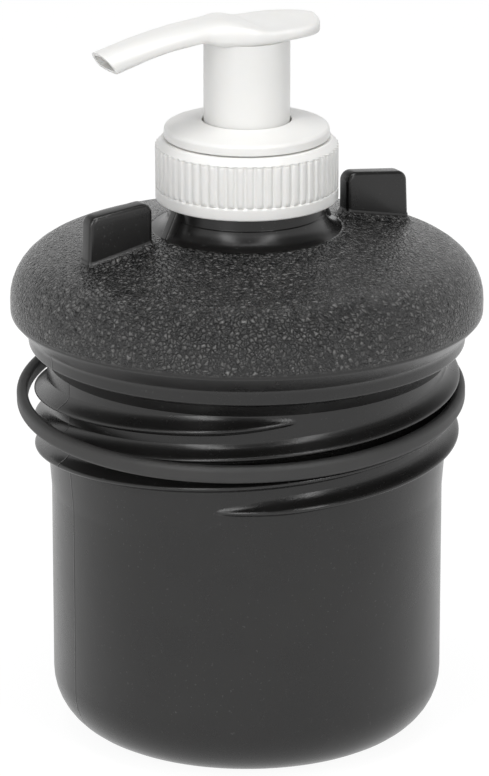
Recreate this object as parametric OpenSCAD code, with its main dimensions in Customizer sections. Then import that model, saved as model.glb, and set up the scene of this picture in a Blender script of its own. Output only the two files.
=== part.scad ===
// Screw-in liquid soap container with a hand pump.
// A blown plastic vessel hangs by its mushroom flange in the threaded mouth of a larger
// water container, and a pump stands in its neck. Millimetres, +Z up, origin in the middle
// of the base, lugs and spout along X.

/* [Body] */
// Outside diameter of the plain lower body
body_d = 90; // [76:1:100]
// Height of the lowest thread crest above the base
body_h = 65.7; // [50:0.1:90]
// Thickness of the blown wall
wall = 1.8; // [1.2:0.1:2.4]
// Radius of the rounded edge round the base
base_round = 13.5; // [8:0.5:18]
// Height of the hollow pressed up into the base
base_dish = 2.5; // [1:0.5:4]
// Width of the flat ring that the base stands on
foot_w = 5; // [3:0.5:8]

/* [Container thread] */
// Number of thread starts
thread_starts = 3; // [1:1:4]
// Height that a ridge gains in one turn
thread_lead = 19.9; // [18:0.1:26]
// Length of each ridge in degrees
thread_turn = 383; // [240:1:420]
// Angle at which the first ridge starts
thread_angle = 232; // [0:1:360]
// Step out from the plain body to the root of the thread
thread_step = 0.8; // [0.2:0.1:1.5]
// Height over which the body widens to that root
widen_h = 10; // [4:0.5:12]
// Height of a ridge above the root
thread_h = 3; // [1.5:0.1:3.5]
// Width of a ridge below its crest
thread_under = 1.7; // [1.2:0.1:2]
// Width of a ridge above its crest
thread_over = 2.8; // [2:0.1:3.2]
// Width of the flat crest
thread_crest = 0.9; // [0.4:0.1:1.4]
// Length of the pointed run-out at each end of a ridge in degrees
thread_taper = 26; // [10:1:60]

/* [Flange] */
// Reach of the mushroom flange beyond its bead
flange_out = 4; // [3:0.1:9]
// Height from the last thread crest to the groove under the flange
groove_rise = 4.6; // [3.5:0.1:7]
// Reach of that groove beyond the root of the thread
groove_out = 1.8; // [1:0.1:2.4]
// Reach of the bead above the groove beyond the root of the thread
bead_out = 4.4; // [3.8:0.1:5]
// Height of the bead
bead_h = 4; // [3:0.1:5]
// Height of the flare from the bead to the lip
flare_h = 4.2; // [3:0.1:6]
// Height of the lip up to the corner that the shoulder rounds off
lip_h = 12.8; // [11:0.1:16]
// Radius of the flange's shoulder
shoulder_round = 12; // [8:0.5:13]
// Slope of the domed top in degrees
dome_slope = 11.6; // [8:0.1:15]

/* [Neck] */
// Outside diameter of the neck
neck_d = 35.4; // [34:0.1:36]
// Wall of the neck
neck_wall = 1.5; // [1.2:0.1:1.7]
// Height of the rim above the dome
neck_h = 16; // [15:0.1:20]
// Height of the wider foot of the neck
neck_foot_h = 2.8; // [2:0.1:3.5]
// Step from the neck out to its foot
neck_step = 0.3; // [0.1:0.1:0.6]
// Radius of the fillet from the dome to the neck
neck_fillet = 3.5; // [2:0.5:5]
// Rise per turn of the neck thread
neck_pitch = 4.2; // [3:0.1:5]
// Height of the neck thread
neck_thread_h = 1; // [0.6:0.1:1.1]
// Length of the neck thread in degrees
neck_turn = 500; // [300:10:540]

/* [Grip lugs] */
// Distance from the neck to the inner end of a lug
lug_gap = 7.3; // [6:0.1:10]
// Distance from the outer end of a lug to the rim of the flange
lug_margin = 12.6; // [11:0.1:16]
// Thickness of a lug
lug_t = 4.5; // [3:0.1:6]
// Height of a lug over the dome at its inner end
lug_h = 10.4; // [6:0.1:14]
// Slope of the lug's top in degrees
lug_fall = 6.5; // [0:0.5:10]
// Lean of the lug's outer end in degrees
lug_lean = 3; // [0:0.5:6]
// Radius of the lug's top edges
lug_edge = 1; // [0.4:0.1:1.4]
// Radius of the lug's top corners
lug_corner = 2.3; // [1:0.1:3]
// Radius of the fillet round the lug's foot
lug_fillet = 1.6; // [0.8:0.1:2]
// Reach of the gusset beyond the neck at its foot
gusset_reach = 3.6; // [3:0.1:6]
// Thickness of the gusset
gusset_t = 2.8; // [1.6:0.1:3]

/* [Loose sealing ring] */
// Slack of the ring's bore over the thread
ring_slack = 0.2; // [0:0.1:2]
// Thickness of the ring outwards
ring_t = 2.6; // [2:0.1:3.2]
// Height of the ring
ring_h = 4.1; // [3:0.1:4.4]
// Sideways offset of the slack ring
ring_shift = 1.4; // [0:0.1:2]
// Direction of that offset
ring_shift_angle = 138; // [0:1:360]
// Tilt of the ring as it hangs on the thread
ring_tilt = 4.1; // [0:0.1:5]
// Direction of the ring's high side
ring_high_angle = 52; // [0:1:360]
// Height of the ring's middle above the lowest thread crest
ring_rise = 14.3; // [12:0.1:16]

/* [Screw closure] */
// Diameter of the closure over its ribs
closure_d = 41.6; // [40.6:0.1:44]
// Height of the closure
closure_h = 14.2; // [12:0.1:14.6]
// Thickness of the lip over the pump's flange
closure_lip = 2; // [1.4:0.1:2.6]
// Number of grip ribs
rib_count = 60; // [40:2:80]
// Depth of the grooves between the ribs
rib_depth = 0.55; // [0.3:0.05:0.7]
// Height of the smooth band under the ribs
band_low = 2.6; // [1:0.1:4]
// Height of the shoulder above the ribs
closure_shoulder = 1.9; // [1:0.1:3]

/* [Pump] */
// Travel of the pump head
stroke = 16; // [8:0.5:17]
// Outside diameter of the head's skirt
skirt_d = 19.6; // [18:0.1:20]
// Height of the skirt that shows above the collar
skirt_show = 18.3; // [17.5:0.1:24]
// Wall of the moulded pump parts
pump_wall = 1; // [0.8:0.1:1.2]
// Wall of the nested sleeves in the neck
sleeve_wall = 0.8; // [0.6:0.1:0.9]
// Diameter of the collar's disc
collar_d = 37.6; // [36:0.1:39]
// Height of the disc's edge
collar_edge = 2.3; // [1.5:0.1:3]
// Rise of the disc from its edge to its mouth
collar_rise = 1.7; // [0.5:0.1:3]
// Thickness of the pump's flange
pump_flange = 1.4; // [1:0.1:2]
// Thickness of the gasket on the rim
gasket_t = 1; // [0.6:0.1:1.6]
// Inside diameter of the pump cylinder
cylinder_bore = 13.6; // [12.6:0.1:14.4]
// Outside diameter of the hollow stem
stem_d = 7.2; // [6.4:0.1:7.6]
// Bore of the hollow stem
stem_bore = 4.6; // [3.6:0.1:5]
// Length of the relaxed spring in its place
spring_l = 28.6; // [26:0.1:34]
// Diameter of the spring wire
spring_wire = 0.9; // [0.6:0.1:1]
// Mean diameter of the spring
spring_d = 7.8; // [7.4:0.1:8.6]
// Turns of the spring
spring_turns = 8; // [5:1:8]
// Diameter of the valve ball
ball_d = 4.8; // [4.4:0.1:5]
// Outside diameter of the dip tube
tube_d = 6; // [5:0.1:6.4]
// Bore of the dip tube
tube_bore = 4.4; // [3.6:0.1:4.6]
// Gap between the dip tube's end and the floor
tube_gap = 3; // [1:0.5:8]

/* [Pump head] */
// Reach of the spout's tip from the axis
spout_reach = 38; // [30:0.5:45]
// Reach of the thumb rest behind the axis
rest_reach = 17; // [14:0.5:20]
// Half width of the head over the skirt
head_half = 10; // [9.9:0.1:11]
// Half width of the spout at its tip
tip_half = 4.7; // [4:0.1:5.5]
// Depth of the spout
spout_depth = 4.6; // [4:0.1:5.5]
// Height of the hump above the skirt's top
hump_h = 6.3; // [5:0.1:8]
// Drop of the spout's tip below the hump
tip_drop = 4.8; // [2:0.1:8]
// Depth of the hollow in the thumb rest
rest_dish = 1.6; // [0.5:0.1:2]
// Slant of the spout's cut end
tip_slant = 3.2; // [1:0.1:5]
// Bore of the spout
spout_bore = 2.8; // [2:0.1:3]

/* [Hidden] */
$fn = 96;

// Clearances between pieces that move on each other
slide_gap = 0.08;
loose_gap = 0.3;
eps = 0.01;

// Widening wall under the first ridge and height of the cone into the groove
thread_margin = 6;
groove_cone_h = 2.9;

// Shared walls and steps of the pump
disc_overlap = 1.8;
collar_wall = 1.3;
skirt_dip = 3;
stroke_spare = 1;
well_floor = 1.2;
floor_gap = 1;
seal_gap = 2;
seal_h = 9;
stem_bite = 5;
outlet_gap = 4;
seat_h = 3.2;
cage_h = 6;
nozzle_h = 11;
tube_stop = 1;
rim_overhang = 0.4;
ball_seat = 0.8;
ball_play = 0.8;

// Radii of the container
body_r = body_d / 2;
root_r = body_r + thread_step;
crest_r = root_r + thread_h;
groove_r = root_r + groove_out;
bead_r = root_r + bead_out;
flange_r = bead_r + flange_out;
neck_r = neck_d / 2;
neck_foot_r = neck_r + neck_step;
neck_bore_r = neck_r - neck_wall;
lug_near = neck_foot_r + lug_gap;
lug_far = flange_r - lug_margin;
foot_r = body_r - base_round;

// Heights of the container, each standing on the one before
widen_z = body_h - thread_under - thread_margin;
thread_rise = thread_lead * thread_turn / 360;
groove_z = body_h + thread_rise + groove_rise;
root_z = groove_z - groove_cone_h;
bead_z = groove_z + bead_h;
lip_z = bead_z + flare_h;
edge_z = lip_z + lip_h;
function dome_z(r) = edge_z + (flange_r - r) * tan(dome_slope);
neck_z = dome_z(neck_foot_r);
rim_z = neck_z + neck_h;

// Heights of the pump, upwards from the rim
flange_z = rim_z + gasket_t;
collar_z = flange_z + pump_flange;
closure_top_z = collar_z + closure_lip;
disc_z = closure_top_z + loose_gap;
disc_top_z = disc_z + collar_edge;
mouth_z = disc_top_z + collar_rise;
head_z = mouth_z + skirt_show;
stem_top_z = head_z - 2;
skirt_low_z = mouth_z - skirt_dip;

// Heights of the pump, downwards into the container
well_z = skirt_low_z - stroke - stroke_spare;
well_floor_z = well_z - well_floor;
step_in_z = well_floor_z - floor_gap;
seal_top_z = step_in_z - seal_gap;
seal_low_z = seal_top_z - seal_h;
stem_low_z = seal_top_z - stem_bite;
seat_z = stem_low_z - outlet_gap;
spring_top_z = seat_z - seat_h;
ledge_z = spring_top_z - spring_l;
cage_floor_z = ledge_z - cage_h;
tube_top_z = cage_floor_z - tube_stop;
nozzle_z = cage_floor_z - nozzle_h;

// Radii of the pump
skirt_r = skirt_d / 2;
well_r = skirt_r + loose_gap;
well_out_r = well_r + sleeve_wall;
cup_out_r = well_out_r + sleeve_wall;
hole_r = collar_d / 2 - disc_overlap;
collar_tube_r = hole_r - loose_gap;
pump_flange_r = neck_r + rim_overhang;
cylinder_r = cylinder_bore / 2;
stem_r = stem_d / 2;
thread_bore_r = neck_r + neck_thread_h + loose_gap;
closure_r = closure_d / 2;
closure_low_z = closure_top_z - closure_h;
ball_r = ball_d / 2;
seat_r = ball_r - ball_seat;
tube_r = tube_d / 2;
bore_in_r = stem_bore / 2;

// Shared colours
black = [0.07, 0.07, 0.075];
rubber = [0.13, 0.13, 0.13];
white = [0.93, 0.92, 0.9];
steel = [0.72, 0.73, 0.75];
clear = [0.9, 0.92, 0.92];

function unit(v) = v / norm(v);

// Arc that rounds the corner b between a and c
function corner_arc(a, b, c, r) =
    let (
        u = unit(a - b),
        v = unit(c - b),
        angle = acos(max(-1, min(1, u * v))),
        reach = r / tan(angle / 2),
        middle = b + unit(u + v) * r / sin(angle / 2),
        first = b + u * reach - middle,
        start = atan2(first.y, first.x),
        way = cross(b - a, c - b) > 0 ? 1 : -1,
        turn = 180 - angle,
        steps = max(2, ceil(turn / 12))
    )
    [for (i = [0 : steps]) middle + r * [cos(start + way * turn * i / steps),
                                        sin(start + way * turn * i / steps)]];

// Outline through corners [x, y, radius]; a missing radius leaves the corner sharp
function rounded(corners) =
    let (n = len(corners))
    [for (i = [0 : n - 1])
        let (
            a = corners[(i + n - 1) % n],
            b = corners[i],
            c = corners[(i + 1) % n]
        )
        each (len(b) < 3 || b[2] == 0)
            ? [[b.x, b.y]]
            : corner_arc([a.x, a.y], [b.x, b.y], [c.x, c.y], b[2])];

function middle_of(ring) = [for (p = ring) 1] * ring / len(ring);

// Solid swept through a list of rings, each clockwise when seen from the last one
module skin(rings) {
    n = len(rings[0]);
    last = len(rings) - 1;
    caps = n * len(rings);
    polyhedron(
        points = [for (ring = rings) each ring, middle_of(rings[0]), middle_of(rings[last])],
        faces = [
            for (i = [0 : n - 1])
                let (k = (i + 1) % n)
                each [[i, k, caps], [last * n + k, last * n + i, caps + 1]],
            for (j = [0 : last - 1], i = [0 : n - 1])
                let (k = (i + 1) % n)
                each [[j * n + i, (j + 1) * n + i, (j + 1) * n + k],
                      [j * n + i, (j + 1) * n + k, j * n + k]]
        ],
        convexity = 8);
}

// One ridge wound up the wall; its ends sink into the wall, which leaves pointed run-outs
module ridge(root, height, under, over, crest, lead, turn, taper, bite, step) {
    steps = ceil(turn / step);
    skin([for (j = [0 : steps])
        let (
            a = turn * j / steps,
            k = sin(90 * min(1, a / taper, (turn - a) / taper)),
            tall = bite * 0.4 + (height + bite * 0.6) * k,
            wide = 0.4 + 0.6 * k
        )
        [for (p = [[0, over * 1.35], [0.42, over * 0.5], [0.85, crest * 0.6],
                   [1, crest * 0.25], [1, -crest * 0.25], [0.85, -crest * 0.6],
                   [0, -under * 1.25]])
            let (r = root - bite + tall * p.x)
            [r * cos(a), r * sin(a), lead * a / 360 + wide * p.y]]]);
}

// Outside of the container from the base to the rim
container_outside = rounded([
    [0, base_dish],
    [foot_r - foot_w - 4, base_dish, 3],
    [foot_r - foot_w, 0, 3],
    [body_r, 0, base_round],
    [body_r, widen_z, 1.5 * widen_h],
    [root_r, widen_z + widen_h, 1.5 * widen_h],
    [root_r, root_z],
    [groove_r, groove_z, 0.5],
    [bead_r - 0.3, groove_z + 0.9, 1],
    [bead_r, bead_z, 2.5],
    [flange_r - 0.2, lip_z, 1.2],
    [flange_r, edge_z, shoulder_round],
    [neck_foot_r, neck_z, neck_fillet],
    [neck_foot_r, neck_z + neck_foot_h, 0.2],
    [neck_r, neck_z + neck_foot_h + 0.3, 0.2],
    [neck_r, rim_z, 0.4],
    [0, rim_z]
]);

// Hollow inside the container, one wall away from the outside
container_inside = rounded([
    [0, base_dish + wall],
    [foot_r - foot_w - 3, base_dish + wall, 3],
    [foot_r - foot_w + 1, wall, 3],
    [body_r - wall, wall, base_round - wall],
    [body_r - wall, widen_z, 1.5 * widen_h],
    [root_r - wall, widen_z + widen_h, 1.5 * widen_h],
    [root_r - wall, root_z + 1, 3],
    [bead_r - wall - 0.3, bead_z, 3],
    [flange_r - wall, lip_z + 1.2, 2],
    [flange_r - wall, edge_z - wall, shoulder_round - wall],
    [neck_bore_r, dome_z(neck_bore_r) - wall, 1.5],
    [neck_bore_r, rim_z + eps],
    [0, rim_z + eps]
]);

// Side of a fin that stands on the sloping dome, with the fillets at its two ends
function lug_side() =
    let (
        foot_z = dome_z(lug_near),
        top_z = foot_z + lug_h,
        end_r = lug_far - lug_h * tan(lug_lean),
        end_z = top_z - (end_r - lug_near) * tan(lug_fall),
        spread = 2 * lug_fillet,
        sink = 1.2
    )
    rounded([
        [lug_near - spread, foot_z - sink],
        [lug_near - spread, dome_z(lug_near - spread)],
        [lug_near, foot_z, lug_fillet],
        [lug_near, top_z, lug_corner],
        [end_r, end_z, lug_corner],
        [lug_far, dome_z(lug_far), lug_fillet],
        [lug_far + spread, dome_z(lug_far + spread)],
        [lug_far + spread, dome_z(lug_far + spread) - sink]
    ]);

// End of the fin, level with the dome, with the fillets along its foot
function lug_end() =
    let (
        half = lug_t / 2,
        spread = 2 * lug_fillet,
        sink = 1.2
    )
    rounded([
        [-half - spread, -sink],
        [-half - spread, 0],
        [-half, 0, lug_fillet],
        [-half, 2 * lug_h],
        [half, 2 * lug_h],
        [half, 0, lug_fillet],
        [half + spread, 0],
        [half + spread, -sink]
    ]);

module grip_lug() {
    top_z = dome_z(lug_near) + lug_h;
    edge_cut = concat(corner_arc([-9, 0], [0, 0], [0, -9], lug_edge),
                      [[1, -lug_edge], [1, 1], [-lug_edge, 1]]);
    difference() {
        intersection() {
            rotate([90, 0, 0])
                linear_extrude(height = 4 * lug_t, center = true)
                    polygon(lug_side());
            translate([0, 0, dome_z(0)])
                rotate([0, dome_slope, 0])
                    rotate([90, 0, 90])
                        linear_extrude(height = 2 * lug_far)
                            polygon(lug_end());
        }
        for (side = [-1, 1])
            translate([lug_near, side * lug_t / 2, top_z])
                rotate([0, lug_fall, 0])
                    rotate([90, 0, 90])
                        linear_extrude(height = 2 * lug_far, center = true)
                            polygon([for (p = edge_cut) [side * p.x, p.y]]);
    }
}

// Rib from the dome up the foot of the neck
module neck_gusset() {
    top_z = closure_low_z - 0.6;
    reach = neck_foot_r + gusset_reach;
    rotate([90, 0, 0])
        linear_extrude(height = gusset_t, center = true)
            polygon(rounded([
                [neck_r - neck_wall / 2, neck_z - wall / 2],
                [reach, dome_z(reach) - wall / 2],
                [reach, dome_z(reach) + 0.2, 0.8],
                [neck_foot_r + gusset_reach / 5, top_z, 0.5],
                [neck_r - neck_wall / 2, top_z]
            ]));
}

module container() {
    color(black)
        difference() {
            union() {
                rotate_extrude($fn = 180) polygon(container_outside);
                for (i = [0 : thread_starts - 1])
                    rotate([0, 0, thread_angle + 360 * i / thread_starts])
                        translate([0, 0, body_h])
                            ridge(root_r, thread_h, thread_under, thread_over, thread_crest,
                                  thread_lead, thread_turn, thread_taper, wall / 2, 7.5);
                translate([0, 0, rim_z - 1.4 - neck_pitch * neck_turn / 360])
                    ridge(neck_r, neck_thread_h, 0.9, 0.9, 0.8, neck_pitch, neck_turn,
                          20, neck_wall / 2, 12);
                for (side = [0, 180])
                    rotate([0, 0, side]) {
                        grip_lug();
                        neck_gusset();
                    }
            }
            rotate_extrude($fn = 180) polygon(container_inside);
        }
}

module seal_ring() {
    ring_r = crest_r + ring_slack / 2;
    color(rubber)
        translate([ring_shift * cos(ring_shift_angle), ring_shift * sin(ring_shift_angle),
                   body_h + ring_rise])
            rotate([0, 0, ring_high_angle])
                rotate([0, -ring_tilt, 0])
                    rotate_extrude($fn = 180)
                        polygon(rounded([
                            [ring_r, -ring_h / 2, ring_t * 0.48],
                            [ring_r + ring_t, -ring_h / 2, ring_t * 0.48],
                            [ring_r + ring_t, ring_h / 2, ring_t * 0.48],
                            [ring_r, ring_h / 2, ring_t * 0.48]
                        ]));
}

module screw_closure() {
    rib_top_z = closure_top_z - closure_shoulder;
    valley_r = closure_r - rib_depth;
    tooth = 360 / rib_count;
    rib_tooth = [[0, 0], [0.2, 0], [0.4, 1], [0.8, 1]];
    color(white)
        difference() {
            union() {
                rotate_extrude()
                    polygon(rounded([
                        [0, closure_low_z],
                        [closure_r, closure_low_z, 0.4],
                        [closure_r, closure_low_z + band_low, 0.2],
                        [valley_r, closure_low_z + band_low + 0.3],
                        [valley_r, rib_top_z],
                        [closure_r - 0.1, rib_top_z + 0.2, 0.3],
                        [closure_r - 1.5, closure_top_z, 0.8],
                        [0, closure_top_z]
                    ]));
                translate([0, 0, closure_low_z + band_low])
                    linear_extrude(height = rib_top_z - closure_low_z - band_low + 0.2)
                        polygon([for (i = [0 : rib_count - 1], p = rib_tooth)
                            let (
                                a = tooth * (i + p.x),
                                r = valley_r - eps + rib_depth * p.y
                            )
                            [r * cos(a), r * sin(a)]]);
            }
            translate([0, 0, closure_low_z - eps])
                cylinder(r = thread_bore_r, h = collar_z - closure_low_z + eps);
            translate([0, 0, collar_z - eps])
                cylinder(r = hole_r, h = closure_lip + 2 * eps);
        }
}

module lock_collar() {
    color(white)
        rotate_extrude()
            polygon(rounded([
                [stem_r + slide_gap, well_floor_z],
                [well_out_r, well_floor_z, 0.4],
                [well_out_r, collar_z],
                [well_out_r + collar_wall, collar_z],
                [well_out_r + collar_wall, disc_z + collar_edge / 4],
                [collar_tube_r - collar_wall, disc_z + collar_edge / 4],
                [collar_tube_r - collar_wall, collar_z],
                [collar_tube_r, collar_z],
                [collar_tube_r, disc_z],
                [collar_d / 2, disc_z, 0.3],
                [collar_d / 2, disc_top_z, 0.9],
                [well_r, mouth_z, 0.3],
                [well_r, well_z],
                [stem_r + slide_gap, well_z]
            ]));
}

module neck_gasket() {
    color(clear)
        translate([0, 0, rim_z])
            difference() {
                cylinder(r = pump_flange_r, h = gasket_t);
                translate([0, 0, -eps])
                    cylinder(r = cup_out_r + loose_gap, h = gasket_t + 2 * eps);
            }
}

module pump_housing() {
    cylinder_out_r = cylinder_r + pump_wall;
    cage_r = ball_r + ball_play;
    hold_r = ball_r - ball_play / 3;
    color(white)
        rotate_extrude()
            polygon(rounded([
                [tube_r, nozzle_z],
                [tube_r + pump_wall, nozzle_z],
                [tube_r + pump_wall, cage_floor_z - 1.4, 0.6],
                [cage_r + pump_wall, cage_floor_z - 0.4, 0.6],
                [cage_r + pump_wall, ledge_z - 3.4, 1],
                [cylinder_out_r, ledge_z - 0.6, 1],
                [cylinder_out_r, step_in_z - 1, 0.6],
                [cup_out_r, step_in_z - 0.4, 0.6],
                [cup_out_r, flange_z],
                [pump_flange_r, flange_z],
                [pump_flange_r, collar_z],
                [well_out_r, collar_z],
                [well_out_r, step_in_z + 0.6],
                [cylinder_r, step_in_z],
                [cylinder_r, ledge_z],
                [hold_r, ledge_z],
                [hold_r, ledge_z - 0.8],
                [cage_r, ledge_z - 1.4],
                [cage_r, cage_floor_z + 0.6],
                [cage_r - 0.6, cage_floor_z],
                [seat_r, cage_floor_z],
                [seat_r, tube_top_z],
                [tube_r, tube_top_z]
            ]));
}

module inlet_ball() {
    color(steel)
        translate([0, 0, cage_floor_z + sqrt(ball_r * ball_r - seat_r * seat_r) + eps])
            sphere(r = ball_r, $fn = 48);
}

module dip_tube() {
    low_z = base_dish + wall + tube_gap;
    color(clear)
        difference() {
            translate([0, 0, low_z])
                cylinder(r = tube_r, h = tube_top_z - low_z);
            translate([0, 0, low_z - 1])
                cylinder(r = tube_bore / 2, h = tube_top_z - low_z + 2);
            translate([0, 0, low_z])
                rotate([0, 40, 0])
                    translate([-2 * tube_d, -2 * tube_d, -4 * tube_d])
                        cube(4 * tube_d);
        }
}

module return_spring() {
    wire_r = spring_wire / 2;
    low_z = ledge_z + wire_r;
    rise = spring_l - spring_wire;
    steps = spring_turns * 18;
    sides = 6;
    color(steel)
        translate([0, 0, low_z])
            skin([for (j = [0 : steps])
                let (
                    t = j / steps,
                    a = 360 * spring_turns * t,
                    closed = 1 / spring_turns,
                    climb = spring_wire * 1.02,
                    z = t < closed ? climb * t / closed
                        : t > 1 - closed ? rise - climb * (1 - t) / closed
                        : climb + (rise - 2 * climb) * (t - closed) / (1 - 2 * closed)
                )
                [for (i = [0 : sides - 1])
                    let (
                        b = -360 * i / sides,
                        r = spring_d / 2 + wire_r * cos(b)
                    )
                    [r * cos(a), r * sin(a), z + wire_r * sin(b)]]]);
}

module piston_seal() {
    lip_r = cylinder_r - slide_gap;
    core_r = lip_r - 1.3;
    shank_r = bore_in_r + slide_gap;
    color(clear)
        rotate_extrude()
            polygon([
                [shank_r, seat_z],
                [core_r, seat_z],
                [lip_r - 0.5, seal_low_z],
                [lip_r, seal_low_z],
                [lip_r, seal_low_z + 1.6],
                [lip_r - 0.6, seal_low_z + 2.6],
                [lip_r - 0.6, seal_top_z - 2.6],
                [lip_r, seal_top_z - 1.6],
                [lip_r, seal_top_z],
                [lip_r - 0.5, seal_top_z],
                [core_r, stem_low_z],
                [shank_r, stem_low_z]
            ]);
}

module piston_seat() {
    pilot_r = spring_d / 2 - spring_wire;
    pilot_h = 4;
    rest_r = spring_d / 2 + spring_wire;
    shank_h = 9;
    color(white)
        rotate_extrude()
            polygon([
                [0, spring_top_z - pilot_h],
                [pilot_r - 0.4, spring_top_z - pilot_h],
                [pilot_r - 0.2, spring_top_z],
                [rest_r, spring_top_z],
                [rest_r, spring_top_z + 1.2],
                [bore_in_r + 1, seat_z],
                [bore_in_r, seat_z],
                [bore_in_r, stem_low_z + shank_h - 1],
                [bore_in_r - 0.8, stem_low_z + shank_h],
                [0, stem_low_z + shank_h]
            ]);
}

module pump_stem() {
    color(white)
        translate([0, 0, stem_low_z])
            difference() {
                cylinder(r = stem_r, h = stem_top_z - stem_low_z);
                translate([0, 0, -1])
                    cylinder(r = bore_in_r, h = stem_top_z - stem_low_z + 2);
            }
}

function ease(t) = let (k = max(0, min(1, t))) k * k * (3 - 2 * k);

// Half width, top, edge and underside of the head at a distance s towards the spout
function head_width(s) =
    s < -6 ? head_half * pow(1 - pow((-6 - s) / (rest_reach - 6 + 0.02), 2.4), 1 / 2.4)
    : tip_half + (5.6 - tip_half) * (1 - ease((s - 12) / 26))
        + (head_half - 5.6) * (1 - ease((s - 1) / 12));
function head_top(s) =
    head_z + hump_h
        - tip_drop * pow(max(0, (s - 8) / (spout_reach - 8)), 1.7)
        - (s < 8 ? 1.8 * ease((8 - s) / 10) : 0);
function head_low(s) =
    s < 8 ? head_z + 0.6 * ease(-s / 10)
    : head_top(s) - hump_h + (hump_h - spout_depth) * ease((s - 8) / 6);
function head_crown(s) = s < 2 ? -rest_dish * ease((2 - s) / 6) * (s < -10 ? ease((s + 17.5) / 7) : 1)
    : 1.1 * ease((s - 2) / 8);

// Way of the liquid: up the stem, forward under the hump and down along the spout
module head_channel() {
    bore_r = spout_bore / 2;
    start_z = head_z + bore_r + 0.4;
    bend_s = 12.5;
    bend_z = head_z + hump_h - spout_depth / 2 - 0.8;
    end_z = head_z + hump_h - tip_drop - spout_depth / 2 - 0.5;
    run = spout_reach - bend_s;
    fall = bend_z - end_z;
    bend_r = (run * run + fall * fall) / (2 * fall);
    climb = atan2(bend_z - start_z, bend_s);
    translate([0, 0, mouth_z])
        cylinder(r = bore_in_r, h = start_z - mouth_z);
    translate([0, 0, start_z])
        rotate([0, climb - 90, 0])
            cylinder(r = bore_r, h = bend_s / cos(climb) + 0.3);
    translate([-bend_s, 0, bend_z - bend_r])
        rotate([90, 0, 0])
            rotate([0, 0, 90])
                rotate_extrude(angle = asin((run + 1) / bend_r))
                    translate([bend_r, 0])
                        circle(r = bore_r);
    translate([-spout_reach - 1, 0, end_z - 0.1])
        rotate([0, 90 - asin(run / bend_r), 0])
            hull()
                for (side = [-1, 1])
                    translate([0, side * (tip_half - 2.4), 0])
                        cylinder(r = 1.3, h = 7, $fn = 24);
}

module pump_head() {
    stations = 36;
    sides = 20;
    socket_r = stem_r + pump_wall + 0.4;
    tip_z = head_top(spout_reach) - 0.4;
    color(white)
        difference() {
            union() {
                rotate([0, 0, 180])
                    skin([for (j = [0 : stations])
                        let (
                            s = -rest_reach + (rest_reach + spout_reach) * j / stations,
                            half = max(0.8, head_width(s)),
                            low = head_low(s),
                            crown = head_crown(s),
                            edge = head_top(s) - max(0, crown),
                            middle = (edge + low) / 2,
                            rise = (edge - low) / 2
                        )
                        [for (i = [0 : sides - 1])
                            let (
                                a = 360 * (i + 0.5) / sides,
                                y = half * sign(cos(a)) * pow(abs(cos(a)), 0.55),
                                up = sign(sin(a)) * pow(abs(sin(a)), 0.55),
                                part = 1 - pow(y / half, 2)
                            )
                            [s, y, middle + rise * up + (up > 0 ? crown * part * up : 0)]]]);
                translate([0, 0, skirt_low_z])
                    cylinder(r = skirt_r, h = head_z + 1 - skirt_low_z);
            }
            difference() {
                translate([0, 0, skirt_low_z - 1])
                    cylinder(r = skirt_r - pump_wall, h = head_z - skirt_low_z + 1);
                translate([0, 0, mouth_z + 4])
                    cylinder(r = socket_r, h = skirt_show);
            }
            translate([0, 0, mouth_z])
                cylinder(r = stem_r, h = stem_top_z - mouth_z);
            head_channel();
            rotate([90, 0, 0])
                linear_extrude(height = 4 * tip_half, center = true)
                    polygon([[-spout_reach, tip_z],
                             [tip_slant - spout_reach, tip_z - spout_depth],
                             [tip_slant - spout_reach, tip_z - 3 * spout_depth],
                             [-spout_reach - 5, tip_z - 3 * spout_depth],
                             [-spout_reach - 5, tip_z]]);
        }
}

container();
seal_ring();
screw_closure();
lock_collar();
neck_gasket();
pump_housing();
inlet_ball();
dip_tube();
return_spring();
piston_seal();
piston_seat();
pump_stem();
pump_head();
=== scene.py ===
import math
import bmesh
import bpy
from mathutils import Matrix, Vector


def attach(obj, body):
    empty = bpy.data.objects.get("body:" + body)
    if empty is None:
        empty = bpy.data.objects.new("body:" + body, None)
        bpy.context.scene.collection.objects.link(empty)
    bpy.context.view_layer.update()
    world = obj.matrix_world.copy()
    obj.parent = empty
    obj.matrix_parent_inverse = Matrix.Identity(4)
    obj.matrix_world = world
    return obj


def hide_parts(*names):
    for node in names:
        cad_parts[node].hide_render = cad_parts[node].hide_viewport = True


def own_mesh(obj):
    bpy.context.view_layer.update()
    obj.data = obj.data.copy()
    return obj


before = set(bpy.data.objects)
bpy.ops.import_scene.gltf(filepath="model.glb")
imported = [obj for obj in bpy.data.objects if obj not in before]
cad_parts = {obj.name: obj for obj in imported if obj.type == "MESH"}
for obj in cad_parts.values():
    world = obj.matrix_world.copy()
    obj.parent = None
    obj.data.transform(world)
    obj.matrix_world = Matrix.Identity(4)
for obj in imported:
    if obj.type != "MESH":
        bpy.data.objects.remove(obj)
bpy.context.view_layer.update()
scene = bpy.context.scene
print("frame loaded:", len(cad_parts), "nodes")


# Camera. Heights and lengths in metres, angles in degrees.
cameraValues = {
    "azimuth": -29.0,
    "elevation": 17.718,
    "height": 0.086,        # of the point on the axis that those angles are taken from
    "distance": 1.2,
    "aimHeight": 0.0804,    # where the line of sight passes the axis
    "aimSide": -0.00053,    # the object stands a hair right of the middle
    "lens": 242.6,
}


def lookDirection(azimuth, elevation):
    a, e = math.radians(azimuth), math.radians(elevation)
    return Vector((math.sin(a) * math.cos(e), -math.cos(a) * math.cos(e), math.sin(e)))


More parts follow.
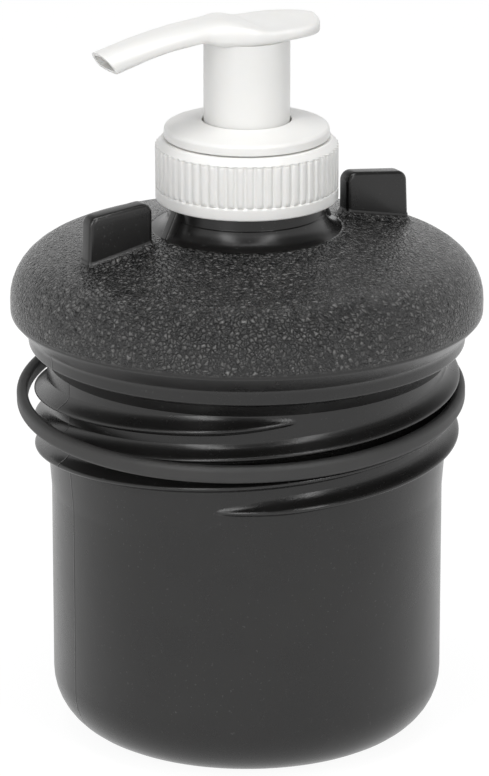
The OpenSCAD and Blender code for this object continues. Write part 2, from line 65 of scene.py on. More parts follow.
def makeCamera(v):
    data = bpy.data.cameras.new("camera")
    data.lens = v["lens"]
    data.sensor_width = 36
    data.clip_end = 20
    camera = bpy.data.objects.new("camera", data)
    scene.collection.objects.link(camera)
    camera.location = Vector((0, 0, v["height"])) + v["distance"] * lookDirection(v["azimuth"], v["elevation"])
    side = math.radians(v["azimuth"])
    aim = Vector((0, 0, v["aimHeight"])) + v["aimSide"] * Vector((math.cos(side), math.sin(side), 0))
    camera.rotation_euler = (aim - camera.location).to_track_quat("-Z", "Y").to_euler()
    scene.camera = camera


makeCamera(cameraValues)
print("camera set")


# Small helpers for meshes
def finishPiece(name, bm, body, nodes, smoothAngle=35):
    mesh = bpy.data.meshes.new(name)
    bm.to_mesh(mesh)
    bm.free()
    mesh.shade_smooth()
    mesh.set_sharp_from_angle(angle=math.radians(smoothAngle))
    piece = bpy.data.objects.new(name, mesh)
    scene.collection.objects.link(piece)
    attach(piece, body)
    if nodes:
        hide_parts(*nodes)
    return piece


def copyOfNode(name, nodeName, body, smoothAngle=30):
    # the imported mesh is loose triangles, so a merged copy stands for it
    bm = bmesh.new()
    bm.from_mesh(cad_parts[nodeName].data)
    bmesh.ops.remove_doubles(bm, verts=bm.verts, dist=1e-6)
    return finishPiece(name, bm, body, [nodeName], smoothAngle)


def addLoop(bm, points, closed=True):
    verts = [bm.verts.new(p) for p in points]
    pairs = list(zip(verts, verts[1:]))
    if closed:
        pairs.append((verts[-1], verts[0]))
    return verts, [bm.edges.new(pair) for pair in pairs]


def roundedOutline(corners, stepAngle=9):
    # corners are (x, y, radius) in millimetres; the outline comes back in metres
    points = []
    count = len(corners)
    for i, b in enumerate(corners):
        before, after = corners[i - 1], corners[(i + 1) % count]
        here = Vector((b[0], b[1]))
        radius = b[2] if len(b) > 2 else 0
        if radius == 0:
            points.append(here)
            continue
        u = (Vector((before[0], before[1])) - here).normalized()
        w = (Vector((after[0], after[1])) - here).normalized()
        angle = u.angle(w)
        middle = here + (u + w).normalized() * radius / math.sin(angle / 2)
        first = here + u * radius / math.tan(angle / 2) - middle
        last = here + w * radius / math.tan(angle / 2) - middle
        turn = math.atan2(first.x * last.y - first.y * last.x, first.dot(last))
        steps = max(2, math.ceil(abs(math.degrees(turn)) / stepAngle))
        for k in range(steps + 1):
            a = turn * k / steps
            points.append(middle + Vector((first.x * math.cos(a) - first.y * math.sin(a),
                                           first.x * math.sin(a) + first.y * math.cos(a))))
    return [(p.x / 1000, p.y / 1000) for p in points]


def splitLong(outline, low, high, step):
    # more rows on the stretch between two heights, where a thread will stand out
    dense = []
    for (xa, za), (xb, zb) in zip(outline, outline[1:] + outline[:1]):
        dense.append((xa, za))
        inside = low <= min(za, zb) and max(za, zb) <= high and xa > 0.016 and xb > 0.016
        length = math.hypot(xb - xa, zb - za)
        if inside and length > step:
            pieces = math.ceil(length / step)
            dense += [(xa + (xb - xa) * i / pieces, za + (zb - za) * i / pieces) for i in range(1, pieces)]
    return dense


def spinOutline(bm, outline, steps):
    verts, edges = addLoop(bm, [(x, 0, z) for x, z in outline])
    bmesh.ops.spin(bm, geom=verts + edges, cent=(0, 0, 0), axis=(0, 0, 1), angle=2 * math.pi,
                   steps=steps, use_merge=True)
    bmesh.ops.remove_doubles(bm, verts=bm.verts, dist=1e-7)
    bmesh.ops.recalc_face_normals(bm, faces=bm.faces)


def smoothStep(low, high, value):
    t = max(0.0, min(1.0, (value - low) / (high - low)))
    return t * t * (3 - 2 * t)


def curveHeight(table, x):
    # smooth curve through a short table of (x, height)
    if x <= table[0][0] or x >= table[-1][0]:
        return 0.0
    for i in range(len(table) - 1):
        if x <= table[i + 1][0]:
            break
    xa, ya = table[i]
    xb, yb = table[i + 1]
    before = table[max(0, i - 1)]
    after = table[min(len(table) - 1, i + 2)]
    slopeA = (yb - before[1]) / (xb - before[0])
    slopeB = (after[1] - ya) / (after[0] - xa)
    h = xb - xa
    t = (x - xa) / h
    return ((2 * t ** 3 - 3 * t ** 2 + 1) * ya + (t ** 3 - 2 * t ** 2 + t) * h * slopeA
            + (3 * t ** 2 - 2 * t ** 3) * yb + (t ** 3 - t ** 2) * h * slopeB)


# Container: the blown vessel with its threads, flange, lugs and neck. Lengths in millimetres, angles in degrees.
vesselValues = {
    "steps": 360,
    "flangeRadius": 54.2, "edgeHeight": 112.47, "domeSlope": 11.6,
    "neckRadius": 17.7,
}
vesselOutline = [
    (0, 2.5), (22.5, 2.5, 3), (26.5, 0, 3), (45, 0, 13.5), (45, 58, 15), (45.8, 68, 15), (45.8, 88.57),
    (47.6, 91.47, 0.5), (49.9, 92.37, 1), (50.2, 95.47, 2.5), (54.0, 99.67, 1.2),
    (54.2, 112.47, 12), (18.0, 119.9, 3.5), (18.0, 122.7, 0.2), (17.7, 123.0, 0.2), (17.7, 135.9, 0.4),
    (16.2, 135.9, 0.3), (16.2, 118.46, 1.5), (52.4, 110.67, 10.2), (52.4, 100.87, 2), (48.1, 95.47, 3),
    (44.0, 89.57, 3), (44.0, 68, 15), (43.2, 58, 15), (43.2, 1.8, 11.7), (27.5, 1.8, 3),
    (23.5, 4.3, 3), (0, 4.3),
]
tankThread = {
    "starts": 3, "angle": 232, "low": 65.7, "lead": 19.9, "turn": 383, "taper": 26, "steps": 384,
    "profile": [(-2.0, 0), (-1.65, 0.12), (-1.0, 1.5), (-0.6, 2.52), (-0.3, 2.92), (0, 3.0), (0.3, 2.9),
                (0.62, 2.5), (1.0, 1.78), (1.5, 1.02), (2.1, 0.42), (2.7, 0.1), (3.2, 0)],
}
neckThread = {
    "starts": 1, "angle": 0, "low": 128.67, "lead": 4.2, "turn": 500, "taper": 20, "steps": 400,
    "profile": [(-1.25, 0), (-1.0, 0.12), (-0.45, 0.86), (0, 1.0), (0.45, 0.86), (1.0, 0.12), (1.25, 0)],
}
lugValues = {
    "near": 25.3, "far": 41.6, "height": 10.4, "thickness": 4.5, "fall": 6.5, "lean": 3.0, "corner": 2.3,
    "edge": 1.0, "fillet": 1.9,
}
gussetValues = {"foot": 21.6, "top": 18.72, "topHeight": 125.5, "thickness": 2.8, "edge": 0.9}


def domeHeight(r):
    v = vesselValues
    return v["edgeHeight"] + (v["flangeRadius"] - r) * math.tan(math.radians(v["domeSlope"]))


def wallRadius(z):
    # outside wall that a thread stands on
    if z > 100:
        return vesselValues["neckRadius"]
    return 45 + 0.8 * max(0.0, min(1.0, (z - 58) / 10))


def addThread(bm, v):
    # each ridge is its profile spun and lifted along the helix; its ends run out to points in the wall
    profile = v["profile"]
    places = [x for x, _ in profile]
    offsets = []
    for xa, xb in zip(places, places[1:]):
        offsets += [xa, (xa + xb) / 2]
    offsets.append(places[-1])
    for i in range(v["starts"]):
        part = bmesh.new()
        verts, edges = addLoop(part, [(0.05, 0, x / 1000) for x in offsets], closed=False)
        rise = v["lead"] * v["turn"] / 360 / v["steps"] / 1000
        bmesh.ops.spin(part, geom=verts + edges, cent=(0, 0, 0), axis=(0, 0, 1), dvec=(0, 0, rise),
                       angle=math.radians(v["turn"]), steps=v["steps"])
        for vert in part.verts:
            z = vert.co.z * 1000
            a = math.degrees(math.atan2(vert.co.y, vert.co.x))
            a += 360 * round((z / v["lead"] * 360 - a) / 360)
            x = z - v["lead"] * a / 360
            k = math.sin(math.pi / 2 * max(0.0, min(1, a / v["taper"], (v["turn"] - a) / v["taper"])))
            height = curveHeight(profile, x) * k
            z = v["low"] + v["lead"] * a / 360 + x * (0.4 + 0.6 * k)
            r = wallRadius(z) + height - 0.04 * (1 - min(1.0, height / 0.3))
            around = math.radians(a + v["angle"] + 360 * i / v["starts"])
            vert.co = Vector((r * math.cos(around), r * math.sin(around), z)) / 1000
        bmesh.ops.recalc_face_normals(part, faces=part.faces)
        part.normal_update()
        outward = sum(f.normal.x * f.calc_center_median().x + f.normal.y * f.calc_center_median().y
                      for f in part.faces)
        if outward < 0:
            bmesh.ops.reverse_faces(part, faces=part.faces)
        joinInto(bm, part)


def joinInto(bm, part):
    mesh = bpy.data.meshes.new("part")
    part.to_mesh(mesh)
    part.free()
    bm.from_mesh(mesh)
    bpy.data.meshes.remove(mesh)


def addFin(bm, outline, thickness, edge, segments, softAbove, side, foot=None):
    # upright fin in the plane of the lugs, with its free edges rounded
    part = bmesh.new()
    half = thickness / 2000
    edges = addLoop(part, [(x, -half, z) for x, z in outline])[1]
    face = bmesh.ops.contextual_create(part, geom=edges)["faces"][0]
    out = bmesh.ops.extrude_face_region(part, geom=[face])
    moved = [g for g in out["geom"] if isinstance(g, bmesh.types.BMVert)]
    bmesh.ops.translate(part, verts=moved, vec=(0, 2 * half, 0))
    bmesh.ops.recalc_face_normals(part, faces=part.faces)
    rims = [e for e in part.edges if abs(e.verts[0].co.y - e.verts[1].co.y) < 1e-7
            and max(e.verts[0].co.z, e.verts[1].co.z) * 1000 > softAbove]
    bmesh.ops.bevel(part, geom=rims, offset=edge / 1000, offset_type="OFFSET", segments=segments, profile=0.5,
                    affect="EDGES", material=-1, clamp_overlap=True)
    if foot:
        addFillet(part, *foot)
    if side < 0:
        bmesh.ops.rotate(part, verts=part.verts, cent=(0, 0, 0), matrix=Matrix.Rotation(math.pi, 3, "Z"))
    joinInto(bm, part)


def addFillet(part, near, far, half, radius, cornerRadius):
    # hollow quarter-round between the foot of an upright wall and the sloping dome
    count = 9
    last = None
    for k in range(count):
        a = math.pi / 2 * k / (count - 1)
        grow = radius * (1 - math.sin(a)) - 0.02
        lift = radius * (1 - math.cos(a)) - 0.03
        ring = []
        for cx, cy, start in ((far, half, 0), (near, half, 90), (near, -half, 180), (far, -half, 270)):
            sx = 1 if cx == far else -1
            sy = 1 if cy > 0 else -1
            for j in range(6):
                b = math.radians(start + 90 * j / 5)
                x = cx - sx * cornerRadius + (cornerRadius + grow) * math.cos(b)
                y = cy - sy * cornerRadius + (cornerRadius + grow) * math.sin(b)
                ring.append((x / 1000, y / 1000, (domeHeight(x) + lift) / 1000))
        edges = addLoop(part, ring)[1]
        if last:
            bmesh.ops.bridge_loops(part, edges=last + edges)
        last = edges


def addLug(bm, v, side):
    near, far = v["near"], v["far"]
    top = domeHeight(near) + v["height"]
    end = far - v["height"] * math.tan(math.radians(v["lean"]))
    endTop = top - (end - near) * math.tan(math.radians(v["fall"]))
    outline = roundedOutline([(near, domeHeight(near) - 1), (far, domeHeight(far) - 1),
                              (end, endTop, v["corner"]), (near, top, v["corner"])], 15)
    addFin(bm, outline, v["thickness"], v["edge"], 5, domeHeight(near) - 3, side,
           (near, far, v["thickness"] / 2, v["fillet"], 0.9))


def addGusset(bm, v, side):
    outline = roundedOutline([(17.0, 118.0), (v["foot"], domeHeight(v["foot"]) - 0.9),
                              (v["foot"], domeHeight(v["foot"]) + 0.2, 0.8),
                              (v["top"], v["topHeight"], 0.5), (17.0, v["topHeight"])], 20)
    addFin(bm, outline, v["thickness"], v["edge"], 5, 0, side)


def makeVessel(v):
    bm = bmesh.new()
    spinOutline(bm, roundedOutline(vesselOutline), v["steps"])
    addThread(bm, tankThread)
    addThread(bm, neckThread)
    for side in (1, -1):
        addLug(bm, lugValues, side)
        addGusset(bm, gussetValues, side)
    return finishPiece("vessel", bm, "vessel", ["container"], 28)


vessel = makeVessel(vesselValues)
print("vessel made:", len(vessel.data.polygons), "faces")


# Loose rubber ring that hangs tilted round the thread
ringValues = {"bore": 97.8, "thickness": 2.6, "height": 4.1, "shift": 1.4, "shiftAngle": 138, "tilt": 4.1,
              "highAngle": 52, "height0": 80.0, "steps": 256}


def makeRing(v):
    bm = bmesh.new()
    r, t, h = v["bore"] / 2, v["thickness"], v["height"] / 2
    corner = t * 0.48
    outline = roundedOutline([(r, -h, corner), (r + t, -h, corner), (r + t, h, corner), (r, h, corner)], 12)
    spinOutline(bm, outline, v["steps"])
    for angle, axis in ((-v["tilt"], "Y"), (v["highAngle"], "Z")):
        turn = Matrix.Rotation(math.radians(angle), 3, axis)
        bmesh.ops.rotate(bm, verts=bm.verts, cent=(0, 0, 0), matrix=turn)
    a = math.radians(v["shiftAngle"])
    bmesh.ops.translate(bm, verts=bm.verts, vec=(v["shift"] * math.cos(a) / 1000, v["shift"] * math.sin(a) / 1000,
                                                 v["height0"] / 1000))
    return finishPiece("sealRing", bm, "vessel", ["seal_ring"], 60)


sealRing = makeRing(ringValues)
print("ring made")


# Ribbed screw closure
closureValues = {"ribs": 60, "stepsPerRib": 10, "ribDepth": 0.55}
closureOutline = [
    (19.0, 126.1, 0.3), (20.8, 126.1, 0.4), (20.8, 128.7, 0.3), (20.25, 129.0, 0.2), (20.25, 138.4, 0.15),
    (20.7, 138.6, 0.3), (19.3, 140.3, 0.8), (17.0, 140.3, 0.25), (17.0, 138.3), (19.0, 138.3),
]


def makeClosure(v):
    bm = bmesh.new()
    outline = splitLong(roundedOutline(closureOutline, 12), 0.1288, 0.1386, 0.0008)
    spinOutline(bm, outline, v["ribs"] * v["stepsPerRib"])
    for vert in bm.verts:
        r = math.hypot(vert.co.x, vert.co.y) * 1000
        z = vert.co.z * 1000
        if 20.2 < r < 20.75 and 128.5 < z < 138.7:
            phase = math.degrees(math.atan2(vert.co.y, vert.co.x)) * v["ribs"] / 360 % 1
            wave = smoothStep(0.06, 0.30, phase) * (1 - smoothStep(0.70, 0.94, phase))
            ends = smoothStep(128.7, 129.2, z) * (1 - smoothStep(138.3, 138.6, z))
            grown = max(r, 20.25 + v["ribDepth"] * (wave * ends if r < 20.4 else wave))
            vert.co.x *= grown / r
            vert.co.y *= grown / r
    return finishPiece("ribbedClosure", bm, "closure", ["screw_closure"], 50)


ribbedClosure = makeClosure(closureValues)
print("closure made")


# Pump head: thumb rest, hump and curved spout over a round skirt
headValues = {"stations": 84, "sides": 44, "back": -17, "reach": 55, "slant": 3.2}


def ease(t):
    k = max(0.0, min(1.0, t))
    return k * k * (3 - 2 * k)


def headSection(s):
    # half width, underside, shoulder height and crown at a distance s towards the spout, in millimetres
    if s < -6:
        half = 10 * max(0.0, 1 - ((-6 - s) / 11.02) ** 2.4) ** (1 / 2.4)
    else:
        half = 4.7 + 0.9 * (1 - ease((s - 12) / 26)) + 4.4 * (1 - ease((s - 1) / 12))
    top = 169.08 - 4.8 * max(0.0, (s - 8) / 30) ** 1.7 - (1.8 * ease((8 - s) / 10) if s < 8 else 0)
    low = 162.9 + 0.6 * ease(-s / 10) if s < 8 else top - 6.3 + 1.7 * ease((s - 8) / 6)
    if s < 2:
        crown = -1.6 * ease((2 - s) / 6) * (ease((s + 17.5) / 7) if s < -10 else 1)
    else:
        crown = 1.1 * ease((s - 2) / 8)
    return max(0.8, half), low, top, crown


def makeHead(v):
    bm = bmesh.new()
    last = None
    for j in range(v["stations"] + 1):
        t = j / v["stations"]
        s0 = v["back"] + v["reach"] * t
        ring = []
        half, low, top, crown = headSection(s0)
        edge = top - max(0.0, crown)
        middle, rise = (edge + low) / 2, (edge - low) / 2
        for i in range(v["sides"]):
            a = 2 * math.pi * (i + 0.5) / v["sides"]
            c, d = math.cos(a), math.sin(a)
            y = half * math.copysign(abs(c) ** 0.55, c)
            up = math.copysign(abs(d) ** 0.55, d)
            part = 1 - (y / half) ** 2
            z = middle + rise * up + (crown * part * up if up > 0 else 0)
            # near the tip the stations lean so that the last one lies in the slanted cut
            lean = v["slant"] * smoothStep(20, 38, s0) * (top - z) / 4.6
            ring.append((-(s0 - lean) / 1000, y / 1000, z / 1000))
        edges = addLoop(bm, ring)[1]
        if last:
            bmesh.ops.bridge_loops(bm, edges=last + edges)
        else:
            bmesh.ops.contextual_create(bm, geom=edges)
        last = edges
    tip = bmesh.ops.contextual_create(bm, geom=last)["faces"][0]
    bmesh.ops.recalc_face_normals(bm, faces=bm.faces)
    bmesh.ops.inset_region(bm, faces=[tip], thickness=0.0009, use_even_offset=True)
    mouth = bmesh.ops.extrude_discrete_faces(bm, faces=[tip])["faces"]
    bmesh.ops.translate(bm, verts=mouth[0].verts, vec=(0.006, 0, 0.0018))
    skirt = bmesh.new()
    spinOutline(skirt, roundedOutline([(9.8, 141.6, 0.3), (9.8, 163.6), (8.8, 163.6), (8.8, 141.6, 0.3)]), 128)
    joinInto(bm, skirt)
    return finishPiece("pressHead", bm, "actuator", ["pump_head"], 40)


pressHead = makeHead(headValues)
print("head made")

# The turned pieces keep their own shape; merged copies give them smooth walls. The spring stands on the
# cylinder's ledge.
lockCollar = copyOfNode("lockDisc", "lock_collar", "pump_unit")
housing = copyOfNode("cylinderHousing", "pump_housing", "pump_unit")
gasket = copyOfNode("rimGasket", "neck_gasket", "pump_unit")
tube = copyOfNode("suctionTube", "dip_tube", "pump_unit")
ball = copyOfNode("valveBall", "inlet_ball", "pump_unit", 180)
spring = copyOfNode("coilSpring", "return_spring", "pump_unit", 80)
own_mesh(spring)
seal = copyOfNode("twoLipSeal", "piston_seal", "piston")
seat = copyOfNode("stemPlug", "piston_seat", "actuator")
stem = copyOfNode("hollowStem", "pump_stem", "actuator")
print("turned pieces copied")


# Node helpers
def addNode(tree, kind, values=None, **settings):
    node = tree.nodes.new(kind)
    for key, value in settings.items():
        setattr(node, key, value)
    for key, value in (values or {}).items():
        node.inputs[key].default_value = value
    return node


def mathNode(tree, operation, a, b=None, c=None, clamp=False):
    node = addNode(tree, "ShaderNodeMath", operation=operation, use_clamp=clamp)
    for i, value in enumerate((a, b, c)):
        if value is None:
            continue
        if isinstance(value, (int, float)):
            node.inputs[i].default_value = value
        else:
            tree.links.new(value, node.inputs[i])
    return node.outputs[0]


def newGroup(name, inputs, outputs):
    group = bpy.data.node_groups.new(name, "ShaderNodeTree")
    for label, kind, value in inputs:
        socket = group.interface.new_socket(name=label, in_out="INPUT", socket_type=kind)
        if value is not None:
            socket.default_value = value
    for label, kind in outputs:
        group.interface.new_socket(name=label, in_out="OUTPUT", socket_type=kind)
    return group, addNode(group, "NodeGroupInput"), addNode(group, "NodeGroupOutput")


def mapNode(tree, value, fromLow, fromHigh):
    node = addNode(tree, "ShaderNodeMapRange", {"From Min": fromLow, "From Max": fromHigh},
                   interpolation_type="SMOOTHSTEP")
    tree.links.new(value, node.inputs["Value"])
    return node.outputs["Result"]


def makePebbleGroup():
    # moulded grain: low domed cells of uneven height with soft valleys between them
    group, start, end = newGroup(
        "pebbleGrain",
        [("Vector", "NodeSocketVector", None), ("Cells", "NodeSocketFloat", 900.0),
         ("Mask", "NodeSocketFloat", 1.0)],
        [("Height", "NodeSocketFloat"), ("Valley", "NodeSocketFloat"), ("Cell", "NodeSocketFloat")])
    links = group.links
    warp = addNode(group, "ShaderNodeTexNoise", {"Scale": 900.0, "Detail": 2.0})
    links.new(start.outputs["Vector"], warp.inputs["Vector"])
    shift = addNode(group, "ShaderNodeVectorMath", operation="MULTIPLY_ADD")
    links.new(warp.outputs["Color"], shift.inputs[0])
    shift.inputs[1].default_value = (0.0011, 0.0011, 0.0011)
    links.new(start.outputs["Vector"], shift.inputs[2])
    edges = addNode(group, "ShaderNodeTexVoronoi", feature="DISTANCE_TO_EDGE")
    cells = addNode(group, "ShaderNodeTexVoronoi", feature="F1")
    for node in (edges, cells):
        links.new(shift.outputs[0], node.inputs["Vector"])
        links.new(start.outputs["Cells"], node.inputs["Scale"])
    own = addNode(group, "ShaderNodeSeparateColor")
    links.new(cells.outputs["Color"], own.inputs[0])
    cell = own.outputs[0]
    valley = mathNode(group, "MULTIPLY", edges.outputs["Distance"], 2.6, clamp=True)
    crown = mathNode(group, "SUBTRACT", 1.0, mathNode(group, "POWER", cells.outputs["Distance"], 2.0))
    dome = mathNode(group, "MULTIPLY_ADD", crown, 0.7, mathNode(group, "POWER", valley, 0.8))
    dome = mathNode(group, "MULTIPLY", dome, mathNode(group, "MULTIPLY_ADD", cell, 0.7, 0.4))
    fine = addNode(group, "ShaderNodeTexNoise", {"Scale": 1900.0, "Detail": 2.0})
    links.new(start.outputs["Vector"], fine.inputs["Vector"])
    height = mathNode(group, "MULTIPLY_ADD", fine.outputs["Fac"], 0.35, dome)
    links.new(mathNode(group, "MULTIPLY", height, start.outputs["Mask"]), end.inputs["Height"])
    dark = mathNode(group, "SUBTRACT", 1.0, valley)
    links.new(mathNode(group, "MULTIPLY", dark, start.outputs["Mask"]), end.inputs["Valley"])
    links.new(cell, end.inputs["Cell"])
    return group


def makeAreaGroup(v):
    # where the vessel is grained, and the fine parting line that the mould leaves down its sides
    group, start, end = newGroup("vesselAreas", [("Vector", "NodeSocketVector", None)],
                                 [("Grain", "NodeSocketFloat"), ("Seam", "NodeSocketFloat")])
    links = group.links
    flat = addNode(group, "ShaderNodeVectorMath", operation="MULTIPLY")
    links.new(start.outputs["Vector"], flat.inputs[0])
    flat.inputs[1].default_value = (1, 1, 0)
    length = addNode(group, "ShaderNodeVectorMath", operation="LENGTH")
    links.new(flat.outputs[0], length.inputs[0])
    radius = length.outputs["Value"]
    parts = addNode(group, "ShaderNodeSeparateXYZ")
    links.new(start.outputs["Vector"], parts.inputs[0])
    slope = math.tan(math.radians(v["domeSlope"]))
    dome = mathNode(group, "MULTIPLY_ADD", radius, -slope, (v["edgeHeight"] + v["flangeRadius"] * slope) / 1000)
    above = mathNode(group, "SUBTRACT", parts.outputs["Z"], dome)
    under = mapNode(group, parts.outputs["Z"], 0.1001, 0.1009)
    grain = mathNode(group, "MULTIPLY", mapNode(group, radius, 0.0216, 0.0224), under)
    grain = mathNode(group, "MULTIPLY", grain, mapNode(group, above, 0.0013, 0.0005))
    links.new(grain, end.inputs["Grain"])
    seam = mapNode(group, mathNode(group, "ABSOLUTE", parts.outputs["Y"]), 0.00030, 0.00008)
    seam = mathNode(group, "MULTIPLY", seam, mapNode(group, parts.outputs["Z"], 0.1001, 0.0990))
    links.new(mathNode(group, "MULTIPLY", seam, mapNode(group, radius, 0.030, 0.034)), end.inputs["Seam"])
    return group


def makeMouldedGroup():
    # soft waviness, faint scuffs and a bloom of handling marks, as on any moulded plastic
    group, start, end = newGroup(
        "mouldedSurface",
        [("Vector", "NodeSocketVector", None), ("Wave", "NodeSocketFloat", 60.0),
         ("Scuff", "NodeSocketFloat", 0.5)],
        [("Height", "NodeSocketFloat"), ("Haze", "NodeSocketFloat"), ("Marks", "NodeSocketFloat")])
    links = group.links
    wave = addNode(group, "ShaderNodeTexNoise", {"Detail": 3.0, "Roughness": 0.45})
    links.new(start.outputs["Vector"], wave.inputs["Vector"])
    links.new(start.outputs["Wave"], wave.inputs["Scale"])
    fine = addNode(group, "ShaderNodeTexNoise", {"Scale": 3200.0, "Detail": 2.0})
    links.new(start.outputs["Vector"], fine.inputs["Vector"])
    height = mathNode(group, "MULTIPLY_ADD", fine.outputs["Fac"], 0.08, wave.outputs["Fac"])
    links.new(height, end.inputs["Height"])
    haze = addNode(group, "ShaderNodeTexNoise", {"Scale": 38.0, "Detail": 5.0, "Roughness": 0.6})
    links.new(start.outputs["Vector"], haze.inputs["Vector"])
    hazeRamp = addNode(group, "ShaderNodeMapRange", {"From Min": 0.35, "From Max": 0.7})
    links.new(haze.outputs["Fac"], hazeRamp.inputs["Value"])
    links.new(hazeRamp.outputs["Result"], end.inputs["Haze"])
    stretch = addNode(group, "ShaderNodeMapping")
    stretch.inputs["Rotation"].default_value = (0.5, 0.3, 0.8)
    stretch.inputs["Scale"].default_value = (1.0, 9.0, 1.0)
    links.new(start.outputs["Vector"], stretch.inputs["Vector"])
    lines = addNode(group, "ShaderNodeTexNoise", {"Scale": 150.0, "Detail": 4.0, "Roughness": 0.7})
    links.new(stretch.outputs["Vector"], lines.inputs["Vector"])
    thin = addNode(group, "ShaderNodeMapRange", {"From Min": 0.63, "From Max": 0.72})
    links.new(lines.outputs["Fac"], thin.inputs["Value"])
    links.new(mathNode(group, "MULTIPLY", thin.outputs["Result"], start.outputs["Scuff"]), end.inputs["Marks"])
    return group


pebbleGroup = makePebbleGroup()
areaGroup = makeAreaGroup(vesselValues)
mouldedGroup = makeMouldedGroup()


def newMaterial(name, baseColor, roughness):
    material = bpy.data.materials.new(name)
    material.use_nodes = True
    tree = material.node_tree
    shader = tree.nodes["Principled BSDF"]
    shader.inputs["Base Color"].default_value = (*baseColor, 1)
    shader.inputs["Roughness"].default_value = roughness
    coord = addNode(tree, "ShaderNodeTexCoord")
    return material, tree, shader, coord.outputs["Object"]


def placeGroup(tree, group, coord, values):
    node = addNode(tree, "ShaderNodeGroup", node_tree=group)
    tree.links.new(coord, node.inputs["Vector"])
    for key, value in values.items():
        node.inputs[key].default_value = value
    return node


def mixColors(tree, factor, dark, light):
    mix = addNode(tree, "ShaderNodeMix", data_type="RGBA")
    tree.links.new(factor, mix.inputs["Factor"])
    mix.inputs["A"].default_value = (*dark, 1)
    mix.inputs["B"].default_value = (*light, 1)
    return mix.outputs["Result"]


def addBump(tree, shader, height, distance, strength=1.0, before=None):
    bump = addNode(tree, "ShaderNodeBump", {"Distance": distance, "Strength": strength})
    tree.links.new(height, bump.inputs["Height"])
    if before is not None:
        tree.links.new(before, bump.inputs["Normal"])
    tree.links.new(bump.outputs["Normal"], shader.inputs["Normal"])
    return bump.outputs["Normal"]


# The lighter pebble-top colour is a painted sheen that stands in for reflected light; the valley colour, a shade
# darker than the smooth black, is painted shade in the hollows between pebbles.
blackValues = {"specular": 0.5, "smooth": (0.006, 0.0057, 0.0055), "hazy": (0.0105, 0.0101, 0.0098),
               "paintedSheenTop": (0.16, 0.158, 0.155), "valley": (0.004, 0.004, 0.004), "dust": (0.05, 0.05, 0.049),
               "roughness": 0.27, "grainRoughness": 0.22, "cells": 1000.0, "grainDepth": 0.0004,
               "seamDepth": 0.00012, "waveDepth": 0.00018}


def makeBlackPlastic(v):
    material, tree, shader, coord = newMaterial("satinBlackPlastic", v["smooth"], v["roughness"])
    shader.inputs["Specular IOR Level"].default_value = v["specular"]
    links = tree.links
    surface = placeGroup(tree, mouldedGroup, coord, {"Wave": 45.0, "Scuff": 0.5})
    area = placeGroup(tree, areaGroup, coord, {})
    mask = area.outputs["Grain"]
    pebble = placeGroup(tree, pebbleGroup, coord, {"Cells": v["cells"]})
    links.new(mask, pebble.inputs["Mask"])
    plain = mixColors(tree, surface.outputs["Haze"], v["smooth"], v["hazy"])
    # pebble tops are painted lighter, more on some pebbles than others, as a painted sheen in place of reflected
    # light, and the valleys between them are painted a shade darker as painted shade
    sheenPerPebble = mapNode(tree, pebble.outputs["Cell"], 0.1, 1.1)
    tops = mathNode(tree, "MULTIPLY", mathNode(tree, "SUBTRACT", 1.0, pebble.outputs["Valley"]), sheenPerPebble)
    grainWithPaintedSheen = mixColors(tree, tops, v["valley"], v["paintedSheenTop"])
    onGrain = addNode(tree, "ShaderNodeMix", data_type="RGBA")
    links.new(mask, onGrain.inputs["Factor"])
    links.new(plain, onGrain.inputs["A"])
    links.new(grainWithPaintedSheen, onGrain.inputs["B"])
    specks = addNode(tree, "ShaderNodeTexNoise", {"Scale": 1500.0, "Detail": 1.0})
    links.new(coord, specks.inputs["Vector"])
    dust = mathNode(tree, "MULTIPLY", mapNode(tree, specks.outputs["Fac"], 0.70, 0.74), surface.outputs["Haze"])
    dusty = addNode(tree, "ShaderNodeMix", data_type="RGBA")
    links.new(dust, dusty.inputs["Factor"])
    links.new(onGrain.outputs["Result"], dusty.inputs["A"])
    dusty.inputs["B"].default_value = (*v["dust"], 1)
    links.new(dusty.outputs["Result"], shader.inputs["Base Color"])
    rough = mathNode(tree, "MULTIPLY_ADD", surface.outputs["Haze"], 0.07, v["roughness"] - 0.02)
    rough = mathNode(tree, "MULTIPLY_ADD", surface.outputs["Marks"], 0.12, rough)
    rough = mathNode(tree, "MULTIPLY_ADD", mask, v["grainRoughness"] - v["roughness"], rough)
    links.new(mathNode(tree, "MULTIPLY_ADD", dust, 0.3, rough), shader.inputs["Roughness"])
    soft = addBump(tree, shader, surface.outputs["Height"], v["waveDepth"])
    line = addBump(tree, shader, area.outputs["Seam"], v["seamDepth"], 1.0, soft)
    addBump(tree, shader, pebble.outputs["Height"], v["grainDepth"], 1.0, line)
    return material


def makePlastic(name, light, dark, roughness, wave, bump, subsurface=0.0):
    material, tree, shader, coord = newMaterial(name, light, roughness)
    surface = placeGroup(tree, mouldedGroup, coord, {"Wave": wave, "Scuff": 0.4})
    tree.links.new(mixColors(tree, surface.outputs["Haze"], light, dark), shader.inputs["Base Color"])
    rough = mathNode(tree, "MULTIPLY_ADD", surface.outputs["Haze"], 0.06, roughness - 0.02)
    rough = mathNode(tree, "MULTIPLY_ADD", surface.outputs["Marks"], 0.1, rough)
    tree.links.new(rough, shader.inputs["Roughness"])
    addBump(tree, shader, surface.outputs["Height"], bump)
    if subsurface:
        shader.inputs["Subsurface Weight"].default_value = subsurface
        shader.inputs["Subsurface Radius"].default_value = (1.0, 0.9, 0.8)
        shader.inputs["Subsurface Scale"].default_value = 0.0015
    return material


def makeSteel():
    material, tree, shader, coord = newMaterial("drawnSteel", (0.62, 0.62, 0.63), 0.28)
    shader.inputs["Metallic"].default_value = 1.0
    surface = placeGroup(tree, mouldedGroup, coord, {"Wave": 300.0, "Scuff": 0.8})
    tree.links.new(mixColors(tree, surface.outputs["Haze"], (0.66, 0.66, 0.67), (0.52, 0.51, 0.5)),
                   shader.inputs["Base Color"])
    tree.links.new(mathNode(tree, "MULTIPLY_ADD", surface.outputs["Marks"], 0.2, 0.25), shader.inputs["Roughness"])
    addBump(tree, shader, surface.outputs["Height"], 0.00002)
    return material


